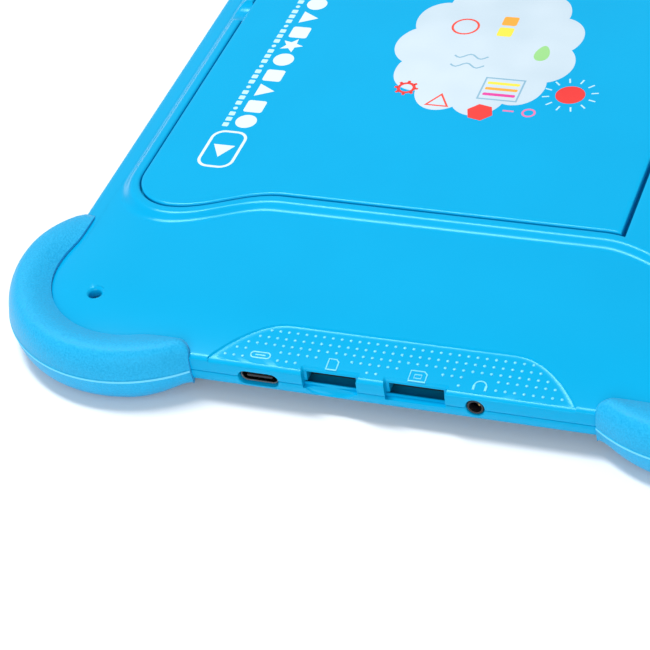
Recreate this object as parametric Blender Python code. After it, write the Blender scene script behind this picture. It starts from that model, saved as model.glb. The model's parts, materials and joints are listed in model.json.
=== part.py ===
"""Kids tablet with corner bumpers and a kickstand, lying on its screen.

X runs along the tablet towards the edge with the ports, Y across it, and Z up
through its back. The origin is under the middle, on the plane of the bumpers' feet.
"""

import math

import bmesh
import bpy

MM = 0.001

# Driving dimensions, in millimetres.
LENGTH = 263.0              # body along X, without the bumpers
WIDTH = 186.0               # body along Y, without the bumpers
CORNER_R = 25.2             # body corner in plan
Z_FRONT = 3.7               # front face, held above the floor by the bumpers
Z_PART = 7.2                # parting plane between front frame and rear shell
Z_EDGE = 11.0               # top of the side wall
CROWN = 2.1                 # rise of the back from its edge to its middle
WALL = 1.6                  # shell wall
LONG_SIDE_ROLL = 1.9        # how much rounder the long sides are than the port edge
GAP = 0.3                   # clearance between touching pieces

BUMPER_R = 33.4             # bumper outline in plan, about the body corner's centre
BUMPER_IN_R = 22.3          # inner lip of the bumper
BUMPER_TOP = 14.4           # crest at the corner
BUMPER_END = 21.0           # length along the straight edge past the round corner
BUMPER_FOOT = 8.0           # length of flat underside along the straight edge
BUMPER_LOW_END = 2.9        # how far its underside rises from there to the end
BUMPER_FALL = 0.5           # fall of the crest to the end at the port or far edge
BUMPER_LONG_FALL = 3.4      # fall of the crest to the end at a long side
BUMPER_END_R = 4.0          # rounding of the ends in plan
BUMPER_END_Z = 11.6         # height that the crest closes down to at its very end
BUMPER_LONG_END_Z = 9.0     # the same at a long side, which is rounder
LIP_STEP = 0.5              # step up from the back at the bumper's inner lip

RIDGE_Z = 14.3              # top of the plinth round the flap
FLAP_TOP = 14.7
FLAP_T = 1.9
RECESS_Z = 12.4             # floor of the flap's recess
WAIST_X = 79.5              # plinth foot at its waist
LOBE_X = 88.1               # plinth foot at its lobes
PLINTH_Y = 86.0
LOBE_Y = 70.5               # where a lobe's side turns into its corner
LOBE_R = 15.5
LOWER_NECK = (43.8, LOBE_Y)         # the S curve between waist and lobe, along Y
UPPER_NECK = (35.0, 61.7)
FLAP_INSET = 4.4            # plinth foot to flap edge
SLIT_Y = 38.9               # flap's hinge edge
SLIT_W = 1.0
HINGE_Y = 37.3
HINGE_Z = 13.1
KNUCKLE_R = 1.6
PIN_R = 0.5
PIN_HOLE_R = 0.75

GLASS = (245.0, 167.0, 8.0)         # length, width, corner radius
PANEL = (229.0, 149.0)
GRIP_HALF = 42.85                   # half length of the grip area at the edge
GRIP_DEPTH = 13.2
GRIP_FLAT = 26.0                    # half length of its straight inner side
GRIP_SINK = 0.5
USB_Y, USB_Z = -30.6, 6.9
CARD_Y, CARD_W = -13.5, 12.8
SIM_Y, SIM_W = 6.3, 13.9
JACK_Y, JACK_Z = 19.9, 7.5
SCREW = (116.2, 76.4)               # case screws, mirrored to the four corners
CAMERA = (-110.0, 56.0)
SPEAKER_Y = 32.0
POWER_X = -40.0                     # keys, on the long edge at +Y
VOLUME_X = -66.0
KEY_Z = 8.9
MIC_X = -22.0
BOARD_SCREWS = ((58.0, -56.0), (58.0, 22.0), (108.0, 22.0))
CORNERS = {"port_upper": (1, 1), "port_lower": (1, -1), "far_upper": (-1, 1), "far_lower": (-1, -1)}

HX, HY = LENGTH / 2, WIDTH / 2


def material(name, colour, roughness, metallic=0.0):
    """One Principled material per sub-part."""
    made = bpy.data.materials.new(name)
    made.use_nodes = True
    shader = made.node_tree.nodes["Principled BSDF"]
    shader.inputs["Base Color"].default_value = (*colour, 1.0)
    shader.inputs["Roughness"].default_value = roughness
    shader.inputs["Metallic"].default_value = metallic
    return made


BLUE = (0.0, 0.47, 0.88)
RUBBER = (0.05, 0.42, 0.78)
STEEL = (0.55, 0.56, 0.58)
BLACK = (0.012, 0.012, 0.014)
BOARD = (0.01, 0.12, 0.06)


def solid(name, vertices, faces, finish=None, cutter=False, smooth=False):
    """A closed mesh object from points in millimetres, faces turned outwards."""
    mesh = bpy.data.meshes.new(name)
    mesh.from_pydata([(x * MM, y * MM, z * MM) for x, y, z in vertices], [], faces)
    work = bmesh.new()
    work.from_mesh(mesh)
    bmesh.ops.recalc_face_normals(work, faces=work.faces)
    work.to_mesh(mesh)
    work.free()
    if smooth:
        mesh.shade_smooth()
        mesh.set_sharp_from_angle(angle=math.radians(35))
    made = bpy.data.objects.new(name, mesh)
    bpy.context.scene.collection.objects.link(made)
    if cutter:
        made.hide_render = True
        made.display_type = "WIRE"
    else:
        mesh.materials.append(material(name, *finish))
    return made


def loft(name, rings, **kind):
    """Skin rings of equally many (x, y, z) points, and cap the two ends."""
    count = len(rings[0])
    vertices = [point for ring in rings for point in ring]
    faces = [list(range(count)), list(range(len(vertices) - count, len(vertices)))]
    for low in range(0, len(vertices) - count, count):
        for i in range(count):
            j = (i + 1) % count
            faces.append([low + i, low + j, low + count + j, low + count + i])
    return solid(name, vertices, faces, **kind)


def prism(name, outline, z0, z1, **kind):
    """An outline in plan, carried from z0 to z1."""
    return loft(name, [[(x, y, z) for x, y in outline] for z in (z0, z1)], **kind)


def block(name, x0, x1, y0, y1, z0, z1, **kind):
    return prism(name, [(x0, y0), (x1, y0), (x1, y1), (x0, y1)], z0, z1, **kind)


def rod(name, axis, centre, span, radius, sides=16, **kind):
    """A cylinder along axis 0, 1 or 2, between the two ends given in span."""
    u, v = [k for k in range(3) if k != axis]
    rings = []
    for end in span:
        ring = []
        for i in range(sides):
            turn = 2 * math.pi * (i + 0.5) / sides
            point = [0.0, 0.0, 0.0]
            point[axis] = end
            point[u] = centre[0] + radius * math.cos(turn)
            point[v] = centre[1] + radius * math.sin(turn)
            ring.append(tuple(point))
        rings.append(ring)
    return loft(name, rings, **kind)


def apply_boolean(target, other, operation):
    step = target.modifiers.new(other.name, "BOOLEAN")
    step.operation = operation
    step.solver = "EXACT"
    step.object = other


def cut(target, *cutters):
    for cutter in cutters:
        apply_boolean(target, cutter, "DIFFERENCE")


def join(target, *others):
    for other in others:
        apply_boolean(target, other, "UNION")


def arc(cx, cy, radius, start, end, steps):
    """Points on an arc, angles in degrees."""
    turns = [math.radians(start + (end - start) * i / steps) for i in range(steps + 1)]
    return [(cx + radius * math.cos(t), cy + radius * math.sin(t)) for t in turns]


def rounded(half_x, half_y, radius, steps=6):
    """A rounded rectangle about the origin."""
    x, y = half_x - radius, half_y - radius
    return (arc(x, y, radius, 0, 90, steps) + arc(-x, y, radius, 90, 180, steps)
            + arc(-x, -y, radius, 180, 270, steps) + arc(x, -y, radius, 270, 360, steps))


def body_ring(inset, z, more_y=0.0):
    """The body's outline, moved inwards by inset, and by more_y on the long sides."""
    outline = rounded(HX - inset, HY - inset - more_y, CORNER_R - inset - more_y / 2, 8)
    return [(x, y, z) for x, y in outline]


def crown(inset):
    """Height of the back at a distance in from the body's edge."""
    run = 22.0
    part = min(max(inset - 0.5, 0.0), run) / run
    return Z_EDGE + CROWN * (1 - (1 - part) ** 2)


def body_rings(lift=0.0, grow=0.0, foot=Z_PART):
    """Outer rings of the rear shell, from the parting plane to the crown."""
    rings = [body_ring(-grow, foot)]
    rings += [body_ring(-grow, z + lift, more) for z, more in ((9.4, 0.4), (10.5, 1.2))]
    rings += [body_ring(inset - grow, crown(inset) + lift, LONG_SIDE_ROLL * math.exp(-inset / 5))
              for inset in (0.5, 3, 8, 14, 22)]
    return rings


def plinth_outline(inset, limit_y=None):
    """Dog-bone outline: a waist at the middle, lobes towards the long edges."""
    radius = LOBE_R - inset
    lobe, waist, top = LOBE_X - inset, WAIST_X - inset, PLINTH_Y - inset

    def side(y):
        start, end = UPPER_NECK if y > 0 else LOWER_NECK
        part = min(max((abs(y) - start) / (end - start), 0.0), 1.0)
        return waist + (lobe - waist) * (0.5 - 0.5 * math.cos(math.pi * part))

    bend = [-65.2, -61.6, -57.2, -52.8, -49.2, -43.8, 35.0, 40.4, 44.0, 48.4, 52.8, 56.4, 61.7]
    right = arc(lobe - radius, -LOBE_Y, radius, -90, 0, 6)
    right += [(side(y), y) for y in bend]
    right += arc(lobe - radius, top - radius, radius, 0, 90, 6)
    if limit_y is not None:
        right = [p for p in right if p[1] < limit_y - 1.0] + [(side(limit_y), limit_y)]
    return right + [(-x, y) for x, y in reversed(right)]


def cutter(builder, name, *args, **more):
    return builder("cut_" + name, *args, cutter=True, **more)


def grip_outline():
    """D-shaped grip area at the edge with the ports, reaching just past the edge."""
    lower = [(HX + 1.0, -GRIP_HALF)]
    for i in range(9):
        part = i / 8
        depth = GRIP_DEPTH * math.sin(part * math.pi / 2) ** 0.85
        lower.append((HX - depth, -GRIP_HALF + (GRIP_HALF - GRIP_FLAT) * part))
    return lower + [(x, -y) for x, y in reversed(lower)]


def slot_outline(centre, width, height, steps=5):
    """A slot with round ends, in a side wall: (y, z) points."""
    flat = (width - height) / 2
    return (arc(centre[0] + flat, centre[1], height / 2, -90, 90, steps)
            + arc(centre[0] - flat, centre[1], height / 2, 90, 270, steps))


def through_wall(name, outline, x0, x1, **kind):
    """A (y, z) outline carried along X."""
    return loft(name, [[(x, y, z) for y, z in outline] for x in (x0, x1)], **kind)


def make_rear_shell():
    shell = loft("rear_shell", body_rings(), finish=(BLUE, 0.35), smooth=True)
    cavity = cutter(loft, "cavity", [
        body_ring(WALL, Z_PART - 1), body_ring(WALL, 9.4), body_ring(4.0, 10.0),
        body_ring(9.5, 10.8), body_ring(20.0, 11.4)])
    cut(shell, cavity)
    foot = [(x, y, 11.8) for x, y in plinth_outline(0.0)]
    base = [(x, y, 12.6) for x, y in plinth_outline(0.1)]
    crest = [(x, y, RIDGE_Z) for x, y in plinth_outline(1.8)]
    join(shell, cutter(loft, "plinth", [foot, base, crest]))

    # Thick places inside: behind the card slots, under the hinge, round the screws.
    inner = HX - WALL
    join(shell, cutter(block, "card_pad", inner - 2.8, inner + 0.6, CARD_Y - 8, SIM_Y + 8.5, Z_PART, 10.4))
    join(shell, cutter(block, "hinge_rib", -79, 79, HINGE_Y - 2.6, 41.5, 10.3, 12.6))
    for place, (sx, sy) in CORNERS.items():
        centre = (SCREW[0] * sx, SCREW[1] * sy)
        join(shell, cutter(rod, "boss_" + place, 2, centre, (8.1, 11.6), 3.0, sides=14),
             cutter(rod, "boss_foot_" + place, 2, centre, (Z_PART, 8.4), 2.1, sides=14))
        cut(shell, cutter(rod, "counterbore_" + place, 2, centre, (8.6, 14.0), 1.9, sides=14),
            cutter(rod, "screw_way_" + place, 2, centre, (Z_PART - 1, 9.0), 1.15, sides=14))

    # Recess, hinge trench and finger notch of the flap.
    recess = cutter(prism, "recess", plinth_outline(FLAP_INSET - 0.4, SLIT_Y + SLIT_W), RECESS_Z, 16.0)
    trench = cutter(block, "trench", -75.4, 75.4, HINGE_Y - 2.0, SLIT_Y + SLIT_W, 11.2, 16.0)
    notch = cutter(rod, "notch", 1, (0.0, 18.6), (-PLINTH_Y - 1, -PLINTH_Y + 6), 6.2, sides=20)
    cut(shell, recess, trench, notch)
    for side in (1, -1):
        span = (75.0 * side, 78.3 * side)
        cut(shell, cutter(rod, f"pin_way{side}", 0, (HINGE_Y, HINGE_Z), sorted(span), PIN_HOLE_R, sides=12))

    # Sunk grip area, level with the crown.
    grip = cutter(prism, "grip", grip_outline(), Z_EDGE - 2, 15.0)
    cut(grip, cutter(loft, "grip_floor", body_rings(lift=-GRIP_SINK, grow=3.0, foot=Z_PART - 2)))
    cut(shell, grip)

    # Notches for the two cards, and the slots at their backs.
    for name, y, width in (("card", CARD_Y, CARD_W), ("sim", SIM_Y, SIM_W)):
        cut(shell, cutter(block, name + "_notch", HX - 1.8, HX + 2, y - width / 2, y + width / 2, Z_PART - 1, 14))
        cut(shell, cutter(block, name + "_slot", inner - 4, HX, y - width / 2 + 0.6, y + width / 2 - 0.6,
                          Z_PART - 1, 8.8))
    cut(shell, usb_way(), jack_way(), *key_ways(), *speaker_ways(), camera_way())
    return shell


def usb_way():
    outline = slot_outline((USB_Y, USB_Z), 9.6, 3.6)
    return cutter(through_wall, "usb_way", outline, HX - 4, HX + 2)


def jack_way():
    return cutter(rod, "jack_way", 0, (JACK_Y, JACK_Z), (HX - 4, HX + 2), 2.1)


def key_ways():
    """Openings for the power button, the volume rocker and the microphone."""
    y0, y1 = HY - 5, HY + 2
    return [
        cutter(block, "power_way", POWER_X - 5.3, POWER_X + 5.3, y0, y1, KEY_Z - 1.3, KEY_Z + 1.3),
        cutter(block, "volume_way", VOLUME_X - 11.4, VOLUME_X + 11.4, y0, y1, KEY_Z - 1.3, KEY_Z + 1.3),
        cutter(rod, "mic_way", 1, (MIC_X, KEY_Z), (y0, y1), 0.6, sides=8)]


def speaker_ways():
    """Three slots over each speaker."""
    ways = []
    for sy in (1, -1):
        for row in range(3):
            x = -111.5 - 3.4 * row
            low, high = sorted((sy * (SPEAKER_Y - 8), sy * (SPEAKER_Y + 8)))
            ways.append(cutter(block, f"speaker_way{sy}{row}", x - 0.6, x + 0.6, low, high, 9, 14))
    return ways


def camera_way():
    return cutter(rod, "camera_way", 2, CAMERA, (9, 14), 4.3, sides=20)


def make_front_frame():
    finish = (BLUE, 0.35)
    frame = loft("front_frame", [
        body_ring(1.2, Z_FRONT), body_ring(0.3, Z_FRONT + 0.9), body_ring(0.0, Z_FRONT + 2.0),
        body_ring(0.0, Z_PART - GAP)], finish=finish, smooth=True)
    length, width, radius = GLASS
    pocket = rounded(length / 2 + GAP, width / 2 + GAP, radius + GAP)
    ledge = rounded(PANEL[0] / 2 + 1.2, PANEL[1] / 2 + 1.2, 2.0, 2)
    cut(frame, cutter(prism, "glass_pocket", pocket, Z_FRONT - 1, 5.0))
    cut(frame, cutter(prism, "panel_window", ledge, Z_FRONT - 1, Z_PART + 1))
    over_ledge = rounded(HX - WALL, HY - WALL, CORNER_R - WALL, 8)
    cut(frame, cutter(prism, "over_ledge", over_ledge, 5.8, Z_PART + 1))
    for place, (sx, sy) in CORNERS.items():
        centre = (SCREW[0] * sx, SCREW[1] * sy)
        join(frame, cutter(rod, "post_" + place, 2, centre, (5.4, Z_PART - GAP), 2.1, sides=14))
        cut(frame, cutter(rod, "pilot_" + place, 2, centre, (5.5, Z_PART + 1), 1.1, sides=14))
    # Room for the sockets at the port edge, the front camera and the thumb scoops.
    cut(frame, cutter(block, "socket_room", 115.5, HX - WALL, USB_Y - 6, JACK_Y + 4.5, 5.0, Z_PART + 1))
    cut(frame, cutter(block, "front_camera_room", -3, 3, 75, 82, 4.6, Z_PART + 1))
    cut(frame, usb_way(), jack_way())
    for name, y, width in (("card", CARD_Y, CARD_W), ("sim", SIM_Y, SIM_W)):
        scoop = cutter(rod, name + "_scoop", 2, (HX + 2.3, y), (5.9, Z_PART + 1), width / 2 - 0.8)
        cut(frame, scoop)
    return frame


def make_flap():
    """The kickstand: a plate whose hinge edge is a round knuckle."""
    bottom = FLAP_TOP - FLAP_T
    plan = plinth_outline(FLAP_INSET, SLIT_Y)
    inner = plinth_outline(FLAP_INSET + 0.5, SLIT_Y)
    flap = loft("kickstand_flap", [
        [(x, y, bottom) for x, y in plan], [(x, y, FLAP_TOP - 0.5) for x, y in plan],
        [(x, y, FLAP_TOP) for x, y in inner]], finish=(BLUE, 0.32), smooth=True)
    trim = cutter(block, "flap_trim", -100, 100, HINGE_Y, 60, 8, 18)
    cut(flap, trim)
    join(flap, cutter(rod, "knuckle", 0, (HINGE_Y, HINGE_Z), (-74.8, 74.8), KNUCKLE_R, sides=20))
    for side in (1, -1):
        span = sorted((68.0 * side, 80.0 * side))
        cut(flap, cutter(rod, f"flap_pin_way{side}", 0, (HINGE_Y, HINGE_Z), span, PIN_HOLE_R + 0.15, sides=12))
    seat_at(flap, 0.0, HINGE_Y, HINGE_Z)
    return flap


def seat_at(piece, x, y, z):
    """Move a piece's origin to a point of its own, leaving its shape in place."""
    for vertex in piece.data.vertices:
        vertex.co.x -= x * MM
        vertex.co.y -= y * MM
        vertex.co.z -= z * MM
    piece.location = (x * MM, y * MM, z * MM)


def bumper_path():
    """From the diagonal to an end: turn in degrees, run along the edge, openness.

    The sections fan out over the round corner, march along the straight edge,
    and close in a quarter circle at the end.
    """
    path = [(9.0 * i, 0.0, 1.0) for i in range(6)]
    path += [(45.0, along, 1.0) for along in (4.0, BUMPER_FOOT, 12.5)]
    for i in range(4):
        angle = math.radians(30 * i)
        path.append((45.0, BUMPER_END - BUMPER_END_R * (1 - math.sin(angle)), math.cos(angle)))
    return path


def make_bumper(name, sx, sy):
    """Soft corner bumper: a fat half-round swept about the corner, over the edge."""
    path = bumper_path()
    rings = [bumper_section(*place, True, sx, sy) for place in reversed(path[1:])]
    rings += [bumper_section(*place, False, sx, sy) for place in path]
    bumper = loft(name, rings, finish=(RUBBER, 0.7), smooth=True)
    envelope = cutter(loft, name + "_body", [body_ring(0.9, Z_FRONT - GAP), body_ring(-GAP, Z_FRONT + 0.9)]
                      + body_rings(lift=GAP, grow=GAP, foot=Z_PART)[1:])
    cut(bumper, envelope)
    return bumper


def bumper_section(turn, along, openness, on_long_side, sx, sy):
    """One section of the bumper, as a ring of points."""
    fall = (BUMPER_LONG_FALL if on_long_side else BUMPER_FALL) * (along / BUMPER_END) ** 2
    lift = BUMPER_LOW_END * (max(along - BUMPER_FOOT, 0.0) / (BUMPER_END - BUMPER_FOOT)) ** 1.5
    outer = math.sqrt(BUMPER_R ** 2 - along ** 2)
    lip = max(math.sqrt(BUMPER_IN_R ** 2 - along ** 2), CORNER_R - 4.4)
    lip += (outer - 1.0 - lip) * (1 - openness)
    close_z = BUMPER_LONG_END_Z if on_long_side else BUMPER_END_Z
    top = close_z + (BUMPER_TOP - fall - close_z) * openness - Z_PART
    low = Z_PART - lift
    width = outer - lip
    roll = min(4.0, width * 0.6)
    shape = []
    for rise, reach in ((1, top), (-1, low)):
        if rise > 0:
            # The top swells from a low step at the inner lip.
            swell = min(5.6, (width - roll) * 0.85)
            lip_z = min(crown(CORNER_R - lip) + LIP_STEP - Z_PART, reach - 0.05)
            outline = [(lip, lip_z - 0.9)]
            outline += [(lip + swell * k / 3, lip_z + (reach - lip_z) * math.sin(math.radians(30 * k)))
                        for k in range(4)]
        else:
            ease = min(2.4, width * 0.3)
            outline = [(lip, reach - 2.2), (lip, reach - 1.3), (lip + 0.13 * ease, reach - 0.65),
                       (lip + 0.5 * ease, reach - 0.17), (lip + ease, reach)]
        for k in range(4):
            angle = math.radians(90 - 30 * k)
            outline.append((outer - roll + roll * math.cos(angle), reach * math.sin(angle)))
        if rise < 0:
            outline = outline[-2::-1]
        shape += [(u, Z_PART + rise * z) for u, z in outline]
    ring = []
    for u, z in shape:
        # The half towards the port or far edge; the other half mirrors it in the diagonal.
        turned = math.radians(45 - turn)
        p = u * math.cos(turned) + along * math.sin(turned)
        q = u * math.sin(turned) - along * math.cos(turned)
        x, y = (q, p) if on_long_side else (p, q)
        ring.append((sx * (HX - CORNER_R + x), sy * (HY - CORNER_R + y), z))
    return ring


def make_display():
    length, width, radius = GLASS
    prism("touch_glass", rounded(length / 2, width / 2, radius), 3.8, 4.7, finish=(BLACK, 0.05))
    half_x, half_y = PANEL[0] / 2, PANEL[1] / 2
    block("display_panel", -half_x, half_x, -half_y, half_y, 5.0, 6.3, finish=((0.02, 0.02, 0.03), 0.2))
    block("display_backlight", -half_x, half_x, -half_y, half_y, 6.6, 7.8, finish=(STEEL, 0.35, 1.0))


def make_mid_plate():
    """Steel sheet behind the backlight, open where the battery lies."""
    plate = block("mid_plate", -112, 112, -73, 73, 8.1, 8.5, finish=(STEEL, 0.4, 1.0))
    cut(plate, cutter(block, "battery_window", -60.5, 36.5, -60.5, 24.5, 7.5, 9.5))
    for index, (x, y) in enumerate(BOARD_SCREWS):
        cut(plate, cutter(rod, f"plate_hole{index}", 2, (x, y), (7.5, 9.0), 1.0, sides=10))
    return plate


def make_boards():
    board = block("main_board", 50, HX - WALL - 1.8, -62, 28, 8.8, 9.6, finish=(BOARD, 0.5))
    cut(board, cutter(block, "jack_bay", 113.5, HX, JACK_Y - 3.7, JACK_Y + 3.7, 8, 10))
    cut(board, cutter(block, "pad_bay", HX - WALL - 3.4, HX, CARD_Y - 8.6, JACK_Y, 8, 10))
    for index, (x, y) in enumerate(BOARD_SCREWS):
        cut(board, cutter(rod, f"board_hole{index}", 2, (x, y), (8, 10), 1.3, sides=10))
        screw = rod(f"board_screw_{index + 1}", 2, (x, y), (8.15, 10.2), 0.75, sides=10,
                    finish=(STEEL, 0.3, 1.0))
        join(screw, cutter(rod, f"board_head{index}", 2, (x, y), (9.9, 10.5), 1.8, sides=12))
    block("processor_shield", 66, 92, -50, -22, 9.9, 11.0, finish=(STEEL, 0.3, 1.0))
    block("radio_shield", 66, 90, -14, 8, 9.9, 11.0, finish=(STEEL, 0.3, 1.0))
    block("side_key_board", VOLUME_X - 14, POWER_X + 8, 85.2, 85.9, 7.6, 10.0, finish=(BOARD, 0.5))
    for tag, x in (("power", POWER_X), ("volume_up", VOLUME_X + 7.5), ("volume_down", VOLUME_X - 7.5)):
        block(f"{tag}_switch", x - 2.2, x + 2.2, 86.2, 87.6, 8.0, 9.8, finish=(STEEL, 0.35, 1.0))
    block("microphone", MIC_X - 1.9, MIC_X + 1.9, 87.6, 89.6, 8.0, 9.8, finish=(STEEL, 0.35, 1.0))


def make_sockets():
    """Charging socket, card sockets and headphone jack at the port edge."""
    port = through_wall("usb_c_shell", slot_outline((USB_Y, USB_Z), 9.0, 3.1), 123.6, HX - 0.4,
                        finish=(STEEL, 0.25, 1.0))
    cut(port, cutter(through_wall, "usb_mouth", slot_outline((USB_Y, USB_Z), 8.3, 2.4), 124.4, HX + 1))
    block("usb_c_tongue", 124.8, HX - 1.2, USB_Y - 3.2, USB_Y + 3.2, USB_Z - 0.35, USB_Z + 0.35,
          finish=(BLACK, 0.4))
    for tag, y, width in (("memory_card_socket", CARD_Y, 11.2), ("sim_card_socket", SIM_Y, 12.3)):
        socket = block(tag, 115.0, HX - WALL - 3.2, y - width / 2 - 0.7, y + width / 2 + 0.7, 6.6, 8.5,
                       finish=(STEEL, 0.3, 1.0))
        cut(socket, cutter(block, tag + "_mouth", 115.9, HX + 1, y - width / 2, y + width / 2, 7.2, 8.1))
    jack = block("headphone_jack", 115.2, HX - WALL - 0.3, JACK_Y - 3.2, JACK_Y + 3.2, 5.3, 9.1,
                 finish=(BLACK, 0.4))
    join(jack, cutter(rod, "jack_nose", 0, (JACK_Y, JACK_Z), (HX - WALL - 1, HX - 0.4), 1.85, sides=16))
    cut(jack, cutter(rod, "jack_bore", 0, (JACK_Y, JACK_Z), (116.6, HX + 1), 1.45, sides=16))


def make_power_and_sound():
    block("battery_pack", -60, 36, -60, 24, 8.1, 10.9, finish=((0.1, 0.1, 0.11), 0.5))
    block("battery_lead", 36.3, 49.7, -30, -24, 9.2, 9.8, finish=((0.5, 0.02, 0.02), 0.5))
    block("display_flex", 40, 49.7, -14, -2, 8.8, 9.0, finish=((0.55, 0.28, 0.03), 0.4))
    block("touch_flex", 40, 49.7, 4, 12, 8.8, 9.0, finish=((0.55, 0.28, 0.03), 0.4))
    for tag, sy in (("speaker_upper", 1), ("speaker_lower", -1)):
        y0, y1 = sorted((sy * (SPEAKER_Y - 12), sy * (SPEAKER_Y + 12)))
        block(tag, -121, -104, y0, y1, 8.8, 10.6, finish=(BLACK, 0.5))
    block("wifi_antenna", -40, -12, 78.5, 84, 9.3, 9.5, finish=((0.55, 0.28, 0.03), 0.4))
    block("cell_antenna", 10, 60, 78.5, 84, 9.3, 9.5, finish=((0.55, 0.28, 0.03), 0.4))


def make_cameras():
    x, y = CAMERA
    rod("rear_camera", 2, CAMERA, (8.8, 11.2), 3.6, sides=20, finish=(BLACK, 0.3))
    rod("rear_camera_window", 2, CAMERA, (11.5, 12.3), 4.0, sides=24, finish=(BLACK, 0.05))
    block("front_camera", -2.2, 2.2, 76.0, 80.4, 5.0, 7.6, finish=(BLACK, 0.3))


def make_keys():
    """Side keys: the button slides straight in, the rocker tips about its middle."""
    y_out = HY + 0.7
    power = block("power_button", POWER_X - 5, POWER_X + 5, 88.7, y_out, KEY_Z - 1.0, KEY_Z + 1.0,
                  finish=(BLUE, 0.35))
    seat_at(power, POWER_X, 88.7, KEY_Z)
    rocker = block("volume_rocker", VOLUME_X - 11, VOLUME_X + 11, 88.9, y_out, KEY_Z - 1.0, KEY_Z + 1.0,
                   finish=(BLUE, 0.35))
    seat_at(rocker, VOLUME_X, 90.4, KEY_Z)


def make_corners():
    """A bumper and a case screw at each corner."""
    for place, (sx, sy) in CORNERS.items():
        make_bumper(f"corner_bumper_{place}", sx, sy)
        centre = (SCREW[0] * sx, SCREW[1] * sy)
        screw = rod(f"case_screw_{place}", 2, centre, (5.8, 9.2), 0.8, sides=12, finish=(STEEL, 0.3, 1.0))
        join(screw, cutter(rod, f"case_head_{place}", 2, centre, (8.9, 10.3), 1.6, sides=14))


def make_hinge_pins():
    for tag, side in (("port_end", 1), ("far_end", -1)):
        span = sorted((68.5 * side, 78.0 * side))
        rod(f"hinge_pin_{tag}", 0, (HINGE_Y, HINGE_Z), span, PIN_R, sides=12, finish=(STEEL, 0.25, 1.0))


def main():
    for old in list(bpy.data.objects):
        bpy.data.objects.remove(old)
    make_rear_shell()
    make_front_frame()
    make_flap()
    make_display()
    make_mid_plate()
    make_boards()
    make_sockets()
    make_power_and_sound()
    make_cameras()
    make_keys()
    make_corners()
    make_hinge_pins()


main()
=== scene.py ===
"""Looks of the kids tablet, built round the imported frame."""

import json
import math

import bmesh
import bpy
from mathutils import Matrix, Vector


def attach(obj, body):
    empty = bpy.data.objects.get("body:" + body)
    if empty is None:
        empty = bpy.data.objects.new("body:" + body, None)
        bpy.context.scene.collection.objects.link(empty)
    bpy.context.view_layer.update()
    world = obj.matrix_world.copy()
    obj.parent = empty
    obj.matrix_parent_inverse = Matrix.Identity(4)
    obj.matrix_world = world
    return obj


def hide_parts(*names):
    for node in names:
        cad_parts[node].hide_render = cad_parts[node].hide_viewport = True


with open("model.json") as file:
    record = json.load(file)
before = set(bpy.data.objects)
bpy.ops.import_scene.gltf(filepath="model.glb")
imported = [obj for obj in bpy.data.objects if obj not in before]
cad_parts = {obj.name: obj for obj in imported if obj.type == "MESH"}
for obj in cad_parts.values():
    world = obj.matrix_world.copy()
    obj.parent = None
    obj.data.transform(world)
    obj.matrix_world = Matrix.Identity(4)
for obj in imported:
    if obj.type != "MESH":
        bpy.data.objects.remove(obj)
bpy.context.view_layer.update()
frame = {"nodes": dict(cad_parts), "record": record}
MM = 0.001
TAU = 2 * math.pi

# Body, in millimetres, as the CAD says.
HX, HY = 131.5, 93.0
CORNER_R = 25.2
Z_FRONT, Z_PART, Z_EDGE, CROWN = 3.7, 7.2, 11.0, 2.1
WALL = 1.6
CROWN_FROM, CROWN_REACH = 0.5, 22.0     # where the crown starts, and how far in it rises
LONG_ROLL, ROLL_FADE = 1.9, 5.0         # how far the long sides pull the crown in
ROLL_FROM, ROLL_HEIGHT, ROLL_DEPTH = 7.6, 3.9, 3.4

# Plinth and flap.
WAIST_X, LOBE_X, PLINTH_Y, LOBE_Y, LOBE_R = 79.5, 88.1, 86.0, 70.5, 15.5
LOWER_NECK, UPPER_NECK = (43.8, 70.5), (35.0, 61.7)
RIDGE_Z, FLAP_TOP, FLAP_BASE, RECESS_Z = 14.5, 14.66, 12.85, 12.4
FLAP_INSET, SLIT_Y, SLIT_W = 4.4, 38.9, 1.0
HINGE_Y, HINGE_Z, KNUCKLE_R, PIN_WAY_R, TRENCH_HALF = 37.3, 13.1, 1.5, 0.75, 75.95

# Corner bumpers.
BUMPER_R, BUMPER_IN_R, BUMPER_TOP = 33.4, 22.3, 14.4
BUMPER_END, BUMPER_FOOT, BUMPER_LOW_END = 21.0, 8.0, 2.9
BUMPER_FALL, BUMPER_LONG_FALL = 0.5, 3.4
BUMPER_END_R, BUMPER_END_Z, BUMPER_LONG_END_Z = 4.0, 11.6, 9.0
BUMPER_ROLL, BUMPER_FOOT_R = 4.0, 1.3
LIP_STEP, BEAD_HEIGHT = 0.5, 0.2

# Edge with the ports, and edge with the keys.
GRIP_HALF, GRIP_FLAT, GRIP_DEPTH, GRIP_SINK = 42.6, 26.0, 12.9, 0.35
GRIP_POWER, GRIP_PAST = 0.85, 3.0       # curve of its ends, and its cutter's overlap
USB_Y, USB_Z = -30.6, 6.9
CARD_Y, CARD_W, CARD_SLOT_HALF = -13.5, 12.8, 5.8
SIM_Y, SIM_W, SIM_SLOT_HALF = 6.3, 13.9, 6.3
SLOT_TOP, SLOT_DEPTH = 9.9, 6.0
JACK_Y, JACK_Z = 19.9, 7.5
POWER_X, POWER_HALF, POWER_WAY, POWER_BACK = -40.0, 5.0, 5.3, 88.7
VOLUME_X, VOLUME_HALF, VOLUME_WAY, VOLUME_BACK = -66.0, 11.0, 11.4, 88.9
MIC_X, KEY_Z, KEY_HALF_Z, KEY_WAY_Z, KEY_PROUD = -22.0, 8.9, 1.0, 1.3, 0.7

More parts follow.
